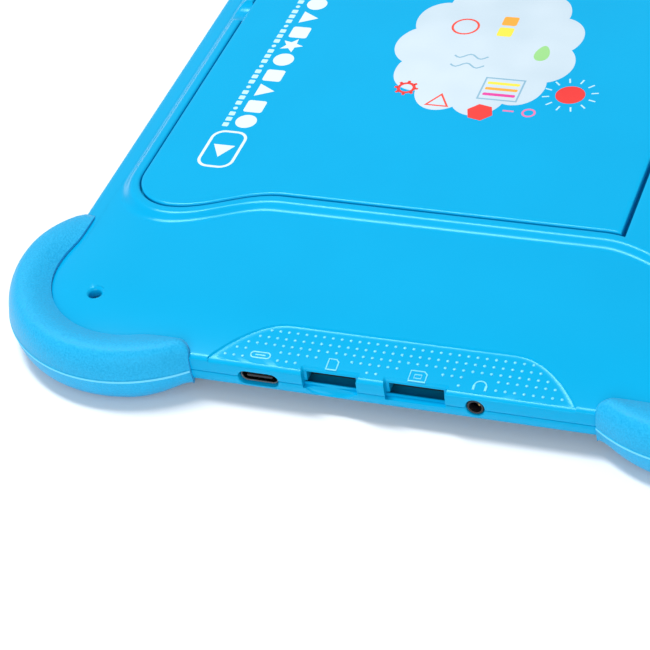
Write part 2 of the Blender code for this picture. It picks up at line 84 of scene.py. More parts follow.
# Holes in the back.
SCREW = (116.2, 76.4)
CAMERA_AT, CAMERA_R = (-110.0, 56.0), 4.3
SPEAKER_X, SPEAKER_Y, SPEAKER_HALF = -111.5, 32.0, 7.2
SPEAKER_ROW, SPEAKER_PITCH, SPEAKER_R = 3.4, 2.4, 0.6

# Front frame: pocket for the glass, window behind it, and the steps at the card slots.
POCKET_X, POCKET_Y, POCKET_R = 122.8, 83.8, 8.3
WINDOW_X, WINDOW_Y, WINDOW_R = 115.7, 75.7, 2.0
GLASS_X, GLASS_Y, GLASS_R = 122.5, 83.5, 8.0
FRAME_CUT_TOP, FRAME_SHELF = 8.2, 5.8
STEP_IN, STEP_Z = 1.25, 6.45
SCOOP_REACH, SCOOP_HALF, SCOOP_HALF_Z, SCOOP_Z = 1.4, 6.2, 3.1, 7.6
CORNERS = {"port_upper": (1, 1), "port_lower": (1, -1), "far_upper": (-1, 1), "far_lower": (-1, -1)}


# ---- materials

NOISE_LOW, NOISE_HIGH = 0.3, 0.7      # the usual range of a noise texture


def nodes_of(name):
    """A new material, its node tree and its shader."""
    made = bpy.data.materials.new(name)
    made.use_nodes = True
    tree = made.node_tree
    return made, tree, tree.nodes["Principled BSDF"]


def noise(tree, scale, detail=3.0, roughness=0.5):
    """Noise in the object's own coordinates, scale in cycles per metre."""
    place = tree.nodes.new("ShaderNodeTexCoord")
    made = tree.nodes.new("ShaderNodeTexNoise")
    made.inputs["Scale"].default_value = scale
    made.inputs["Detail"].default_value = detail
    made.inputs["Roughness"].default_value = roughness
    tree.links.new(place.outputs["Object"], made.inputs["Vector"])
    return made


def spread(tree, source, low, high):
    """Map the usual range of a noise to low..high."""
    made = tree.nodes.new("ShaderNodeMapRange")
    ends = {"From Min": NOISE_LOW, "From Max": NOISE_HIGH, "To Min": low, "To Max": high}
    for socket, value in ends.items():
        made.inputs[socket].default_value = value
    tree.links.new(source, made.inputs["Value"])
    return made.outputs["Result"]


def two_tone(tree, source, dark, light):
    """Run from dark to light over the usual range of a noise."""
    made = tree.nodes.new("ShaderNodeValToRGB")
    made.color_ramp.elements[0].position = NOISE_LOW
    made.color_ramp.elements[0].color = (*dark, 1)
    made.color_ramp.elements[1].position = NOISE_HIGH
    made.color_ramp.elements[1].color = (*light, 1)
    tree.links.new(source, made.inputs["Fac"])
    return made.outputs["Color"]


def bump(tree, shader, source, strength, distance):
    """A fine relief, distance in metres."""
    made = tree.nodes.new("ShaderNodeBump")
    made.inputs["Strength"].default_value = strength
    made.inputs["Distance"].default_value = distance
    tree.links.new(source, made.inputs["Height"])
    tree.links.new(made.outputs["Normal"], shader.inputs["Normal"])


def plain(name, dark, light, rough, grain=400.0, bumps=0.0, depth=0.00002, metallic=0.0,
          specular=0.5, coat=0.0, sheen=0.0, speckled=False, tint=(1.0, 1.0, 1.0)):
    """Two close tones, uneven roughness and a fine grain.

    The tones vary broadly, or with the fine grain where speckled; tint colours the reflections.
    """
    made, tree, shader = nodes_of(name)
    broad = noise(tree, grain * 0.08, 2.0)
    fine = noise(tree, grain * 8, 2.0)
    tones = fine if speckled else broad
    tree.links.new(two_tone(tree, tones.outputs["Fac"], dark, light), shader.inputs["Base Color"])
    tree.links.new(spread(tree, fine.outputs["Fac"], *rough), shader.inputs["Roughness"])
    shader.inputs["Metallic"].default_value = metallic
    shader.inputs["Specular IOR Level"].default_value = specular
    shader.inputs["Specular Tint"].default_value = (*tint, 1.0)
    shader.inputs["Coat Weight"].default_value = coat
    shader.inputs["Coat Roughness"].default_value = 0.08
    if sheen:
        shader.inputs["Sheen Weight"].default_value = sheen
        shader.inputs["Sheen Roughness"].default_value = 0.5
    if bumps:
        bump(tree, shader, fine.outputs["Fac"], bumps, depth)
    return made


def ink(name, dark, light):
    """A matt print."""
    return plain(name, dark, light, (0.35, 0.42), specular=0.4)


BLUE_D, BLUE_L = (0.0003, 0.365, 0.68), (0.0005, 0.38, 0.705)
shell_blue = plain("shell_blue_plastic", BLUE_D, BLUE_L, (0.19, 0.23), bumps=0.2, depth=0.00001,
                   specular=0.23, tint=(0.4, 0.93, 1.0))
bumper_blue = plain("bumper_rubber", (0.001, 0.34, 0.665), (0.015, 0.43, 0.775), (0.38, 0.62),
                    grain=290, bumps=1.0, depth=0.00011, specular=0.34, sheen=0.10, speckled=True,
                    tint=(0.5, 0.93, 1.0))
# Painted highlight: the mould line's bead is the bumper's own rubber, painted much lighter to stand for the
# light it catches.
bead_painted_highlight = plain("mould_line_painted_highlight", (0.12, 0.62, 0.92), (0.16, 0.66, 0.95), (0.35, 0.45), specular=0.4)
# Painted highlight: the raised dots, port signs and key marks are the shell's own plastic, painted lighter to
# stand for the light their tops catch.
raised_marks_painted_highlight = plain("raised_dots_painted_highlight", (0.14, 0.66, 0.95), (0.18, 0.70, 0.98), (0.25, 0.3), specular=0.5)
cloud_ink = plain("cloud_print", (0.50, 0.62, 0.71), (0.60, 0.71, 0.79), (0.35, 0.42), grain=500,
                  specular=0.3)
white_ink = ink("white_print", (0.68, 0.80, 0.85), (0.72, 0.82, 0.86))
pale_ink = ink("pale_blue_print", (0.45, 0.74, 0.90), (0.52, 0.79, 0.93))
red_ink = ink("red_print", (0.75, 0.03, 0.03), (0.84, 0.05, 0.04))
coral_ink = ink("coral_print", (0.78, 0.06, 0.04), (0.84, 0.09, 0.06))
pink_ink = ink("pink_print", (0.74, 0.16, 0.36), (0.80, 0.20, 0.42))
yellow_ink = ink("yellow_print", (0.82, 0.70, 0.06), (0.88, 0.77, 0.08))
orange_ink = ink("orange_print", (0.86, 0.36, 0.04), (0.90, 0.42, 0.05))
magenta_ink = ink("magenta_print", (0.70, 0.04, 0.32), (0.76, 0.06, 0.36))
green_ink = ink("green_print", (0.28, 0.62, 0.22), (0.34, 0.68, 0.26))
slate_ink = ink("slate_print", (0.22, 0.42, 0.56), (0.27, 0.47, 0.60))
# Painted shade: the sockets' steel is painted far darker than steel, to stand for the shade deep in their
# openings.
socket_steel_painted_shade = plain("socket_steel_painted_shade", (0.16, 0.17, 0.18), (0.22, 0.23, 0.24), (0.22, 0.34), metallic=1.0)
steel = plain("stamped_steel", (0.50, 0.51, 0.53), (0.60, 0.61, 0.63), (0.22, 0.34), metallic=1.0)
black = plain("black_moulding", (0.008, 0.008, 0.010), (0.014, 0.014, 0.017), (0.35, 0.5), bumps=0.15)
gold = plain("contact_gold", (0.75, 0.50, 0.18), (0.82, 0.58, 0.24), (0.2, 0.3), metallic=1.0)
glass = plain("cover_glass", (0.006, 0.006, 0.008), (0.009, 0.009, 0.011), (0.04, 0.07), coat=1.0)
lens = plain("camera_window", (0.004, 0.004, 0.008), (0.008, 0.008, 0.014), (0.03, 0.06), coat=1.0)
panel = plain("display_layers", (0.02, 0.02, 0.03), (0.03, 0.03, 0.04), (0.15, 0.25))
board = plain("board_green", (0.005, 0.09, 0.04), (0.012, 0.13, 0.06), (0.35, 0.5), grain=900, bumps=0.2)
wrap = plain("battery_wrap", (0.07, 0.07, 0.08), (0.12, 0.12, 0.13), (0.4, 0.55), bumps=0.2)
film = plain("amber_film", (0.46, 0.22, 0.02), (0.60, 0.31, 0.04), (0.3, 0.4))
lead = plain("red_lead", (0.40, 0.01, 0.01), (0.52, 0.03, 0.02), (0.4, 0.5))

CARRIED = {
    "steel": steel, "black_plastic": black, "screen_glass": glass, "display": panel, "board": board,
    "battery": wrap, "flex": film, "lead": lead, "lens": lens, "shell_blue": shell_blue,
    "flap_blue": shell_blue, "bumper_blue": bumper_blue}
# Painted shade: the card sockets deep behind their slots are painted black over their carried finish, to
# darken the slots' insides.
SOCKETS_IN_PAINTED_SHADE = ("memory_card_socket", "sim_card_socket")
for part in frame["record"]["subparts"]:
    node = frame["nodes"][part["node"]]
    node.data.materials.clear()
    dark = part["node"] in SOCKETS_IN_PAINTED_SHADE
    node.data.materials.append(black if dark else CARRIED[part["material_slot"]])


# ---- mesh tools

def linked(name, data):
    """A new object in the scene."""
    made = bpy.data.objects.new(name, data)
    bpy.context.scene.collection.objects.link(made)
    return made


def solid(name, vertices, faces, finish=None, angle=32.0):
    """A mesh object from points in millimetres, faces turned outwards."""
    mesh = bpy.data.meshes.new(name)
    mesh.from_pydata([(x * MM, y * MM, z * MM) for x, y, z in vertices], [], faces)
    work = bmesh.new()
    work.from_mesh(mesh)
    bmesh.ops.recalc_face_normals(work, faces=work.faces)
    work.to_mesh(mesh)
    work.free()
    made = linked(name, mesh)
    smooth(made, angle)
    if finish:
        mesh.materials.append(finish)
    return made


def smooth(made, angle):
    """Shade smooth, with edges sharper than angle (degrees) kept."""
    made.data.shade_smooth()
    made.data.set_sharp_from_angle(angle=math.radians(angle))


def loft(name, rings, finish=None, angle=32.0):
    """Skin rings of equally many points, and cap the two ends."""
    count = len(rings[0])
    vertices = [point for ring in rings for point in ring]
    faces = [list(range(count)), list(range(len(vertices) - count, len(vertices)))]
    for row in range(len(rings) - 1):
        low, high = row * count, (row + 1) * count
        for i in range(count):
            j = (i + 1) % count
            faces.append([low + i, low + j, high + j, high + i])
    return solid(name, vertices, faces, finish, angle)


def three_d(outline, z):
    """An outline in plan, as a ring at height z."""
    return [(x, y, z) for x, y in outline]


def prism(name, outline, z0, z1):
    return loft(name, [three_d(outline, z) for z in (z0, z1)])


def block(name, x0, x1, y0, y1, z0, z1):
    return prism(name, [(x0, y0), (x1, y0), (x1, y1), (x0, y1)], z0, z1)


def turned(name, axis, centre, profile, sides=32, finish=None):
    """A solid of revolution: axis is 0, 1 or 2, profile is (place along the axis, radius)."""
    u, v = [k for k in range(3) if k != axis]
    rings = []
    for along, radius in profile:
        ring = []
        for i in range(sides):
            turn = TAU * (i + 0.5) / sides
            point = [0.0, 0.0, 0.0]
            point[axis] = along
            point[u] = centre[0] + radius * math.cos(turn)
            point[v] = centre[1] + radius * math.sin(turn)
            ring.append(tuple(point))
        rings.append(ring)
    return loft(name, rings, finish)


def boolean(target, cutters, operation="DIFFERENCE", angle=32.0):
    """Cut the cutters out of target, or join them to it, and delete them."""
    for cutter in cutters:
        step = target.modifiers.new("step", "BOOLEAN")
        step.operation = operation
        step.solver = "EXACT"
        step.object = cutter
    bpy.context.view_layer.update()
    seen = target.evaluated_get(bpy.context.evaluated_depsgraph_get())
    mesh = bpy.data.meshes.new_from_object(seen)
    target.modifiers.clear()
    target.data = mesh
    for cutter in cutters:
        bpy.data.objects.remove(cutter)
    smooth(target, angle)
    return target


def put(piece, body, *stands_for, slot=None):
    """Let a piece ride on a body, in place of the CAD nodes it stands for."""
    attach(piece, body)
    if stands_for:
        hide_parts(*stands_for)
    return piece


# ---- outlines

SIDE_STEPS, CORNER_STEPS, END_STEPS, FLAP_STEPS = 110, 18, 60, 90


def arc(cx, cy, radius, start, end, steps):
    """Points along an arc, start and end in degrees."""
    turns = [math.radians(start + (end - start) * i / steps) for i in range(steps + 1)]
    return [(cx + radius * math.cos(t), cy + radius * math.sin(t)) for t in turns]


def line(a, b, steps):
    """Points from a to b, without either end."""
    return [(a[0] + (b[0] - a[0]) * i / steps, a[1] + (b[1] - a[1]) * i / steps)
            for i in range(1, steps)]


def half_outline(upper, side, lower):
    """An outline mirrored in X, from its upper and lower corner arcs and its right side."""
    right = lower + side + upper
    left = [(-x, y) for x, y in reversed(right)]
    return right + line(right[-1], left[0], END_STEPS) + left + line(left[-1], right[0], END_STEPS)


def body_outline(inset, more_y=0.0):
    """The body in plan, inset all round and by more_y more on the long sides."""
    half_x, half_y, r = HX - inset, HY - inset - more_y, CORNER_R - inset - more_y / 2
    lower = arc(half_x - r, r - half_y, r, -90, 0, CORNER_STEPS)
    upper = arc(half_x - r, half_y - r, r, 0, 90, CORNER_STEPS)
    return half_outline(upper, line(lower[-1], upper[0], SIDE_STEPS), lower)


def plinth_side(y, inset):
    """Half the plinth's width in X at y: wide lobes, and a waist between them."""
    lobe, waist = LOBE_X - inset, WAIST_X - inset
    start, end = UPPER_NECK if y > 0 else LOWER_NECK
    part = min(max((abs(y) - start) / (end - start), 0.0), 1.0)
    return waist + (lobe - waist) * (0.5 - 0.5 * math.cos(math.pi * part))


def plinth_outline(inset):
    r = LOBE_R - inset
    lower = arc(LOBE_X - inset - r, -LOBE_Y, r, -90, 0, CORNER_STEPS)
    upper = arc(LOBE_X - inset - r, LOBE_Y, r, 0, 90, CORNER_STEPS)
    side = [(plinth_side(y, inset), y) for _, y in line((0, -LOBE_Y), (0, LOBE_Y), SIDE_STEPS)]
    return half_outline(upper, side, lower)


def flap_outline(inset, limit_y):
    """The plinth's outline up to the hinge edge, in plan."""
    r = LOBE_R - inset
    right = arc(LOBE_X - inset - r, -LOBE_Y, r, -90, 0, CORNER_STEPS)
    for i in range(1, FLAP_STEPS + 1):
        y = -LOBE_Y + (limit_y + LOBE_Y) * i / FLAP_STEPS
        right.append((plinth_side(y, inset), y))
    return right + [(-x, y) for x, y in reversed(right)]


def inset_of(x, y):
    """Distance in from the body's outline."""
    qx, qy = abs(x) - (HX - CORNER_R), abs(y) - (HY - CORNER_R)
    outside = math.hypot(max(qx, 0.0), max(qy, 0.0)) + min(max(qx, qy), 0.0)
    return CORNER_R - outside


def crown(inset):
    """Height of the back at a distance in from the body's outline."""
    part = min(max(inset - CROWN_FROM, 0.0), CROWN_REACH) / CROWN_REACH
    return Z_EDGE + CROWN * (1 - (1 - part) ** 2)


def crown_at(x, y):
    """Height of the back at a point, with the long sides rolled over."""
    qx, qy = abs(x) - (HX - CORNER_R), abs(y) - (HY - CORNER_R)
    if qx > 0 and qy > 0:
        share = qy * qy / (qx * qx + qy * qy)
    else:
        share = 1.0 if qy > qx else 0.0
    inset = start = inset_of(x, y)
    for _ in range(10):     # settles on the inset whose rolled-over place is (x, y)
        inset = max(start - share * LONG_ROLL * math.exp(-inset / ROLL_FADE), 0.0)
    return crown(inset)


def side_roll(z):
    """How far the long sides have rolled inwards at a height."""
    part = min(max((z - ROLL_FROM) / ROLL_HEIGHT, 0.0), 0.995)
    return ROLL_DEPTH * (1 - math.sqrt(1 - part * part))


# The side wall above the parting line: (inset, height), upright and then rounded into the back.
WALL_PROFILE = ((0.0, 7.55), (0.0, 8.3), (0.0, 9.0), (0.0, 9.6), (0.0, 9.95), (0.0, 10.2), (0.02, 10.4),
                (0.08, 10.55), (0.18, 10.67), (0.3, 10.755), (0.5, 10.865), (0.7, 10.955), (0.9, 11.035),
                (1.1, 11.1))
BACK_FROM = 5.0     # inset where the back's rings leave the body's outline for the plinth's
EDGE_INSETS = (1.35, 1.7, 2.4, 3.2, 4.1, BACK_FROM)


def wall_rings(lift=0.0, grow=0.0):
    """The side wall and the outer part of the back, as (outline, height)."""
    rings = []
    for inset, z in WALL_PROFILE:
        rings.append((body_outline(inset - grow, side_roll(z)), z + lift))
    for inset in EDGE_INSETS:
        rings.append((body_outline(inset - grow, LONG_ROLL * math.exp(-inset / ROLL_FADE)),
                      crown(inset) + lift))
    return rings


FOOT, STEEP_FROM, STEEP_TO, CREST = -1.5, 0.25, 1.1, 2.35      # places on the plinth's slope


def risen(inset):
    """Part of the plinth's rise reached at an inset: a fillet, a straight slope and a crest."""
    low, mid, high = STEEP_FROM - FOOT, STEEP_TO - STEEP_FROM, CREST - STEEP_TO
    at = min(max(inset, FOOT), CREST)
    total = low / 2 + mid + high / 2
    if at < STEEP_FROM:
        return (at - FOOT) ** 2 / (2 * low) / total
    if at < STEEP_TO:
        return (low / 2 + at - STEEP_FROM) / total
    return 1 - (CREST - at) ** 2 / (2 * high) / total


def back_rings():
    """Rings of the back from inside the wall rings to the plinth's foot."""
    edge = body_outline(BACK_FROM, LONG_ROLL * math.exp(-BACK_FROM / ROLL_FADE))
    foot = plinth_outline(FOOT)
    rings = []
    for step in (0.03, 0.06, 0.10, 0.14, 0.19, 0.25, 0.32, 0.40, 0.50, 0.60, 0.70, 0.80, 0.89, 0.96, 1.0):
        ring = []
        for (x0, y0), (x1, y1) in zip(edge, foot):
            x, y = x0 + (x1 - x0) * step, y0 + (y1 - y0) * step
            ring.append((x, y, crown_at(x, y)))
        rings.append(ring)
    return rings


# ---- rear shell

def grip_outline(more=0.0):
    """D-shaped grip area at the edge with the ports, grown by more."""
    half, flat, depth = GRIP_HALF + more, GRIP_FLAT, GRIP_DEPTH + more
    lower = [(HX + GRIP_PAST, -half)]
    for i in range(25):
        part = i / 24
        x = HX + 0.07 - (depth + 0.07) * math.sin(part * math.pi / 2) ** GRIP_POWER
        lower.append((x, -half + (half - flat) * part))
    return lower + [(x, -y) for x, y in reversed(lower)]


def grip_cutter():
    """The grip area's hollow: its floor follows the crown, its rim is eased."""
    rings = []
    for more, rise in ((0.0, 0.0), (0.08, 0.04), (0.19, 0.14), (0.32, 0.27), (0.5, 0.41)):
        rings.append([(x, y, crown_at(min(x, HX), y) - GRIP_SINK + rise) for x, y in grip_outline(more)])
    rings.append(three_d(grip_outline(1.0), 13.5))
    inner = []
    for part in (0.94, 0.8, 0.6, 0.4, 0.2):
        ring = []
        for x, y in grip_outline():
            x, y = HX + GRIP_PAST - (HX + GRIP_PAST - x) * part, y * (0.5 + 0.5 * part)
            ring.append((x, y, crown_at(min(x, HX), y) - GRIP_SINK))
        inner.append(ring)
    return loft("cut_grip", inner[::-1] + rings)


def grip_edge_cutter():
    """Rounds the edge between the grip area's floor and the port wall."""
    floor = crown(1.1) - GRIP_SINK
    profile = [(HX - inset, floor - drop) for inset, drop in (
        (0.0, 0.9), (0.02, 0.7), (0.08, 0.55), (0.18, 0.43), (0.3, 0.345), (0.5, 0.235), (0.7, 0.145),
        (0.9, 0.065), (1.1, 0.0))]
    profile += [(HX - 1.1, floor + 1.0), (HX + 1.0, floor + 1.0), (HX + 1.0, floor - 0.9)]
    ends = -GRIP_HALF + 0.3, GRIP_HALF - 0.3
    return loft("cut_grip_edge", [[(x, y, z) for x, z in profile] for y in ends])


def slot_outline(y, z, width, height, steps=12):
    """A round-ended slot in the port wall, as points (y, z)."""
    flat = (width - height) / 2
    return arc(y + flat, z, height / 2, -90, 90, steps) + arc(y - flat, z, height / 2, 90, 270, steps)


def slot_cutter(name, y, z, width, height, inner, flare=0.35):
    """A round-ended opening in the port wall with an eased mouth."""
    rings = []
    for x, more in ((inner, 0.0), (HX - flare, 0.0), (HX - 0.12, flare * 0.35), (HX + 0.02, flare),
                    (HX + 1, flare + 0.2)):
        rings.append([(x, a, b) for a, b in slot_outline(y, z, width + 2 * more, height + 2 * more)])
    return loft(name, rings)


def rounded_rect(x0, x1, y0, y1, r, steps=6):
    return (arc(x1 - r, y1 - r, r, 0, 90, steps) + arc(x0 + r, y1 - r, r, 90, 180, steps)
            + arc(x0 + r, y0 + r, r, 180, 270, steps) + arc(x1 - r, y0 + r, r, 270, 360, steps))


def centred_rect(half_x, half_y, r, steps):
    return rounded_rect(-half_x, half_x, -half_y, half_y, r, steps)


def port_cutters():
    """Openings for the charging socket and the headphone jack, which both shells share."""
    return [slot_cutter("cut_usb", USB_Y, USB_Z, 9.6, 3.6, HX - 4),
            turned("cut_jack", 0, (JACK_Y, JACK_Z), (
                (HX - 4, 2.1), (HX - 0.3, 2.1), (HX - 0.08, 2.25), (HX + 0.02, 2.5), (HX + 1, 2.6)), 40)]


def notch_cutter(name, y, width):
    """A card notch cut down from the top of the port edge, with a rounded rim."""
    rings = []
    for z, more in ((Z_PART - 1, 0.0), (10.0, 0.0), (10.4, 0.08), (10.65, 0.3), (11.4, 0.9)):
        half = width / 2 + more
        rings.append(three_d(rounded_rect(HX - 1.8 - more, HX + 4, y - half, y + half, 0.35), z))
    return loft(name, rings)


def screw_places():
    """Name and centre of each case screw."""
    return [(place, (SCREW[0] * sx, SCREW[1] * sy)) for place, (sx, sy) in CORNERS.items()]


def shell_skin():
    """The outside of the rear shell, from the parting line over the plinth's slope to its top."""
    start = [(body_outline(0.25), Z_PART), (body_outline(0.06), 7.3)]
    rings = [three_d(outline, z) for outline, z in start + wall_rings()] + back_rings()
    foot = rings[-1]
    for inset in (-1.25, -1.0, -0.75, -0.5, -0.25, 0.0, 0.25, 0.55, 0.85, 1.1, 1.35, 1.6, 1.85, 2.1, CREST):
        part = risen(inset)
        rings.append([(x, y, z + (RIDGE_Z - z) * part)
                      for (x, y), (_, _, z) in zip(plinth_outline(inset), foot)])
    for inset in (3.2, 5.5, 9.0):
        rings.append(three_d(plinth_outline(inset), RIDGE_Z))
    return loft("shell_back", rings, shell_blue)


def recess_cutter():
    """The flap's recess, with its rim eased into the ridge."""
    rings = []
    for inset, z, more in ((4.0, RECESS_Z, 0.0), (4.0, 13.9, 0.0), (3.95, 14.12, 0.02), (3.83, 14.3, 0.07),
                           (3.6, 14.44, 0.16), (3.3, 14.51, 0.3), (3.2, 16.0, 0.36)):
        rings.append(three_d(flap_outline(inset, SLIT_Y + SLIT_W + more), z))
    return loft("cut_recess", rings)


def make_rear_shell():
    shell = shell_skin()
    cavity = loft("cut_cavity", [three_d(body_outline(inset), z) for inset, z in (
        (WALL, Z_PART - 1), (WALL, 9.4), (4.0, 10.0), (9.5, 10.8), (20.0, 11.4))])
    boolean(shell, [cavity, recess_cutter()])

    pads = [block("card_pad", HX - WALL - 2.8, HX - WALL + 0.6, CARD_Y - 8, SIM_Y + 8.5, Z_PART, 10.4),
            block("hinge_rib", -79, 79, HINGE_Y - 2.6, 41.5, 10.3, 12.6)]
    for place, centre in screw_places():
        pads.append(turned("boss_" + place, 2, centre, ((8.1, 3.0), (11.6, 3.0))))
    boolean(shell, pads, "UNION")

    # The trench takes the flap's knuckle, and the thumb notch is where a finger lifts the flap.
    cuts = [block("cut_trench", -TRENCH_HALF, TRENCH_HALF, HINGE_Y - 2.0, SLIT_Y + SLIT_W, 11.2, 13.6),
            turned("cut_thumb", 1, (0.0, 18.6), ((-PLINTH_Y - 1, 6.6), (-PLINTH_Y + 1.0, 6.25),
                                                (-PLINTH_Y + 6, 6.2)), 64),
            grip_cutter(),
            grip_edge_cutter(),
            notch_cutter("cut_card_notch", CARD_Y, CARD_W),
            notch_cutter("cut_sim_notch", SIM_Y, SIM_W)]
    for y, half in ((CARD_Y, CARD_SLOT_HALF), (SIM_Y, SIM_SLOT_HALF)):
        cuts.append(block("cut_card_slot", HX - SLOT_DEPTH, HX, y - half, y + half, Z_PART - 1, SLOT_TOP))
    cuts += port_cutters()
    for place, centre in screw_places():
        top = crown_at(*centre)
        cuts.append(turned("cut_hole_" + place, 2, centre, (
            (Z_PART - 1, 1.15), (8.6, 1.15), (8.6001, 1.5), (top - 0.7, 1.52), (top - 0.45, 1.62),
            (top - 0.2, 1.9), (top + 0.05, 2.35), (top + 2, 2.4)), 40))
    for x, half in ((POWER_X, POWER_WAY), (VOLUME_X, VOLUME_WAY)):
        cuts.append(loft("cut_key_way", [
            [(a, y, b) for a, b in rounded_rect(x - half - more, x + half + more, KEY_Z - KEY_WAY_Z - more,
                                                KEY_Z + KEY_WAY_Z + more, 1.0)]
            for y, more in ((HY - 5, 0.0), (HY - 0.5, 0.0), (HY - 0.15, 0.08), (HY + 2, 0.5))]))
    cuts.append(turned("cut_mic", 1, (MIC_X, KEY_Z), ((HY - 5, 0.6), (HY + 2, 0.6)), 20))
    for sy in (1, -1):
        for row in range(3):
            x = SPEAKER_X - SPEAKER_ROW * row
            for k in range(7):
                y = sy * (SPEAKER_Y - SPEAKER_HALF + SPEAKER_PITCH * k)
                cuts.append(turned("cut_speaker", 2, (x, y), (
                    (9, SPEAKER_R), (crown_at(x, y) - 0.15, SPEAKER_R), (13.6, 0.9)), 20))
    cuts.append(turned("cut_camera", 2, CAMERA_AT, (
        (9, CAMERA_R), (12.55, CAMERA_R), (12.9, CAMERA_R + 0.25), (14, CAMERA_R + 1.1)), 48))
    boolean(shell, cuts)
    return put(shell, "tablet", "rear_shell", slot="shell_blue")


# ---- front frame and glass

def make_front_frame():
    rings = []
    for inset, z in ((1.9, Z_FRONT), (1.3, 3.74), (0.8, 3.95), (0.45, 4.35), (0.2, 4.9), (0.06, 5.5),
                     (0.0, 6.1), (0.0, 6.98), (0.05, 7.08), (0.2, Z_PART - 0.04)):
        rings.append(three_d(body_outline(inset), z))
    made = loft("front_bezel", rings, shell_blue)
    pocket = loft("cut_pocket", [
        three_d(centred_rect(POCKET_X + m, POCKET_Y + m, POCKET_R + m, 16), z)
        for z, m in ((3.0, 0.6), (3.72, 0.3), (3.95, 0.0), (5.0, 0.0))])
    window = prism("cut_window", centred_rect(WINDOW_X, WINDOW_Y, WINDOW_R, 6), 2.7, FRAME_CUT_TOP)
    over = prism("cut_over", body_outline(WALL), FRAME_SHELF, FRAME_CUT_TOP)
    boolean(made, [pocket, window, over])
    cuts = [block("cut_sockets", 115.5, HX - WALL, USB_Y - 6, JACK_Y + 4.5, 5.0, FRAME_CUT_TOP)]
    cuts += port_cutters()
    for y, width in ((CARD_Y, CARD_W), (SIM_Y, SIM_W)):
        cuts.append(block("cut_step", HX - STEP_IN, HX + 2, y - width / 2, y + width / 2,
                          STEP_Z, FRAME_CUT_TOP))
    # Thumb scoop: a round-bottomed dish in the frame's edge under the memory card.
    scoop = []
    for k in range(1, 24):
        bend = math.pi * k / 24
        reach, height = math.sin(bend), SCOOP_Z - SCOOP_HALF_Z * math.cos(bend)
        scoop.append([(HX + 0.05 + SCOOP_REACH * reach * math.cos(t * math.pi / 24),
                       CARD_Y + SCOOP_HALF * reach * math.sin(t * math.pi / 24), height) for t in range(48)])
    cuts.append(loft("cut_scoop", scoop))
    boolean(made, cuts)
    put(made, "tablet", "front_frame", slot="shell_blue")
    rings = [three_d(centred_rect(GLASS_X + m, GLASS_Y + m, GLASS_R, 20), z)
             for z, m in ((3.8, -0.35), (3.86, -0.15), (4.0, 0.0), (4.7, 0.0))]
    put(loft("cover_glass", rings, glass), "tablet", "touch_glass", slot="screen_glass")


# ---- kickstand flap

def make_flap():
    round_in, round_down = 1.0, 0.45        # the top edge is a flat quarter ellipse
    profile = [(0.35, FLAP_BASE), (0.08, FLAP_BASE + 0.1), (0.0, FLAP_BASE + 0.35),
               (0.0, FLAP_TOP - round_down)]
    for i in range(1, 9):
        turn = math.radians(90 * i / 8)
        profile.append((round_in * (1 - math.cos(turn)), FLAP_TOP - round_down * (1 - math.sin(turn))))
    profile += [(2.0, FLAP_TOP), (4.5, FLAP_TOP)]
    flap = loft("kickstand_plate", [three_d(flap_outline(FLAP_INSET + inset, SLIT_Y - 0.04 - inset), z)
                                    for inset, z in profile], shell_blue)
    end = ((74.35, KNUCKLE_R), (74.6, KNUCKLE_R - 0.08), (74.75, KNUCKLE_R - 0.3))
    knuckle = turned("knuckle", 0, (HINGE_Y, HINGE_Z), [(-x, r) for x, r in end[::-1]] + list(end), 40)
    boolean(flap, [knuckle], "UNION")
    ways = [turned("cut_pin_way", 0, (HINGE_Y, HINGE_Z), [(x0, PIN_WAY_R), (x1, PIN_WAY_R)], 20)
            for x0, x1 in ((68.0, 80.0), (-80.0, -68.0))]
    boolean(flap, ways)
    return put(flap, "kickstand", "kickstand_flap", slot="flap_blue")


# ---- corner bumpers

BEAD_FROM, BEAD_TO = 21, 24     # ring points of the mould line


def bumper_path():
    """Half a bumper from its corner's diagonal: (turn in degrees, way along the side, openness)."""
    path = [(3.0 * i, 0.0, 1.0) for i in range(16)]
    path += [(45.0, BUMPER_END * i / 16, 1.0) for i in range(1, 13)]
    start = path[-1][1]
    for i in range(1, 13):
        turn = math.radians(90 * i / 12)
        along = max(start + 0.05 * i, BUMPER_END - BUMPER_END_R * (1 - math.sin(turn)))
        path.append((45.0, along, math.cos(turn)))
    return path


